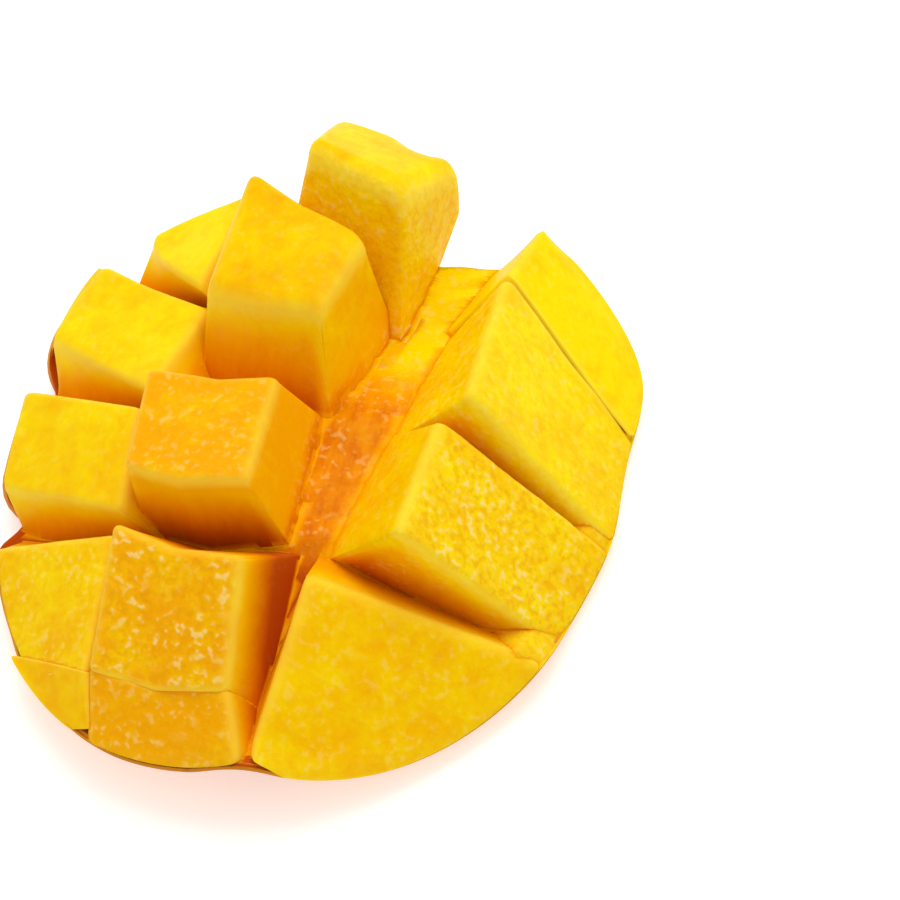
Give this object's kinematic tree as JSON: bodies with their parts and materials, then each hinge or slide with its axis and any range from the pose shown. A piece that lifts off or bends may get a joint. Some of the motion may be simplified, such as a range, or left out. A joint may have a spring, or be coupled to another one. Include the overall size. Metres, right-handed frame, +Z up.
{
  "type": "mango chunk",
  "caption": "Fresh mango cheek scored into cubes and turned inside out on its peel, so the cubes of flesh stand apart.",
  "frame": {"origin": "centre of the bounding box, at the level of the flattened peel the cheek rests on", "axes": "+Y from the pointed front tip to the stem end, +X to the right seen from above, +Z up through the cubes"},
  "size_m": [0.0968, 0.1092, 0.0349],
  "materials": {
    "mango_flesh": "moist ripe flesh, yellow on the tops and orange in the cuts",
    "mango_peel": "smooth waxy peel, yellow orange with a red blush"
  },
  "bodies": {
    "root": {"mango_cheek": "mango_flesh"}
  },
  "joints": []
}
